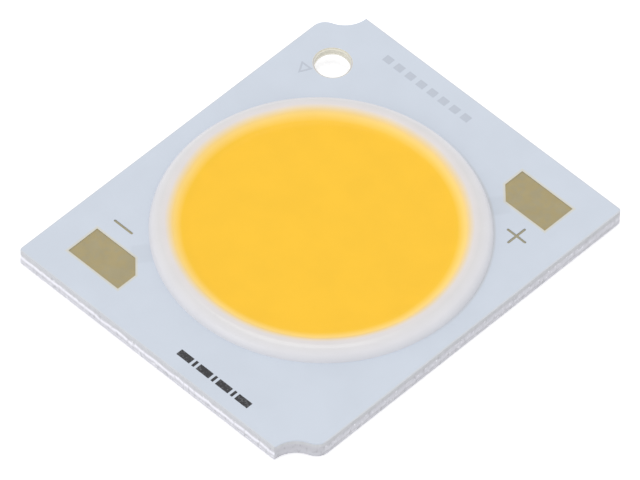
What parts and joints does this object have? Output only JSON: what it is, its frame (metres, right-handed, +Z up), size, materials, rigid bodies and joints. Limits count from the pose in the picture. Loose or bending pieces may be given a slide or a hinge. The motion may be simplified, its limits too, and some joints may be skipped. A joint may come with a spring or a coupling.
{
  "type": "chip-on-board light source",
  "caption": "Flat rectangular light source: a round field of dies under yellow phosphor resin in a white ring, on an aluminium board with solder pads in opposite corners.",
  "frame": {"origin": "middle of the aluminium plate's underside", "axes": "+X along the plate's long side, +Y along its short side towards the corner with the locating hole, +Z up, the way the light leaves"},
  "size_m": [0.024, 0.02, 0.0016],
  "materials": {
    "aluminium": "satin",
    "adhesive": "matte",
    "board_resin": "matte",
    "gold_pads": "satin gold plating on copper",
    "gold_marks": "satin gold plating on copper",
    "white_mask": "satin",
    "ring_resin": "glossy",
    "phosphor": "satin",
    "die_crystal": "clear",
    "gold_wire": "polished"
  },
  "bodies": {
    "root": {"base_plate": "aluminium", "bonding_sheet": "adhesive", "circuit_board": "board_resin", "anode_circuit": "gold_pads", "cathode_circuit": "gold_pads", "plus_mark": "gold_marks", "minus_mark": "gold_marks", "solder_mask": "white_mask", "dam_ring": "ring_resin", "phosphor_fill": "phosphor", "die_bond_row_1": "adhesive", "dies_row_1": "die_crystal", "wires_row_1": "gold_wire", "die_bond_row_2": "adhesive", "dies_row_2": "die_crystal", "wires_row_2": "gold_wire", "die_bond_row_3": "adhesive", "dies_row_3": "die_crystal", "wires_row_3": "gold_wire", "die_bond_row_4": "adhesive", "dies_row_4": "die_crystal", "wires_row_4": "gold_wire", "die_bond_row_5": "adhesive", "dies_row_5": "die_crystal", "wires_row_5": "gold_wire"}
  },
  "joints": []
}
